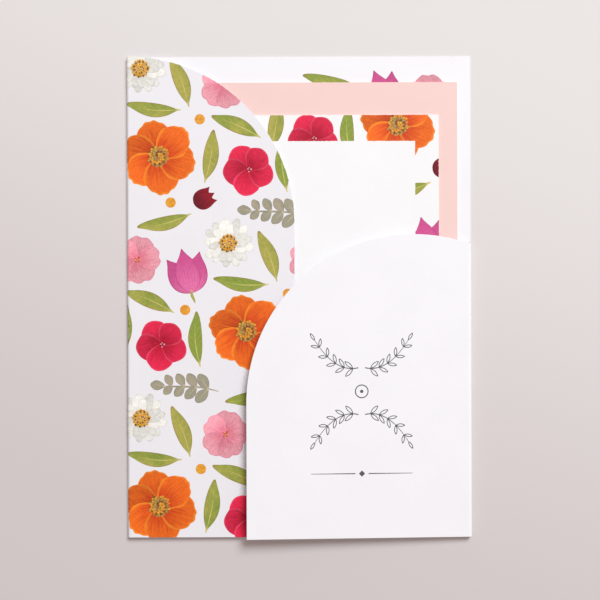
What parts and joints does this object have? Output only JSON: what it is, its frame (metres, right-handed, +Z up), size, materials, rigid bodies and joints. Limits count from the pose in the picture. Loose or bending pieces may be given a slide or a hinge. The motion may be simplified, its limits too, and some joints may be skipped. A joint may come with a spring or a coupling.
{
  "type": "wedding invitation pocket",
  "caption": "Folded card pocket with two overlapping round-topped flaps, holding a plain card and a card with a printed frame.",
  "frame": {"origin": "middle of the pocket's outline, on the underside of its back panel, which lies on the table", "axes": "+Z up off the table, +Y towards the open top of the pocket, +X to the right when the flaps face the viewer"},
  "size_m": [0.126, 0.176, 0.0059],
  "materials": {
    "white_card": "smooth uncoated card of about 300 g/m2, with a flower print on the left flap",
    "pink_card": "smooth matt card, coloured through",
    "framed_card": "smooth matt card with a printed frame of flowers",
    "glue": "dried paper glue film"
  },
  "bodies": {
    "root": {"pocket_sheet": "white_card", "pink_card": "pink_card", "framed_card": "framed_card", "glue_line": "glue"}
  },
  "joints": []
}
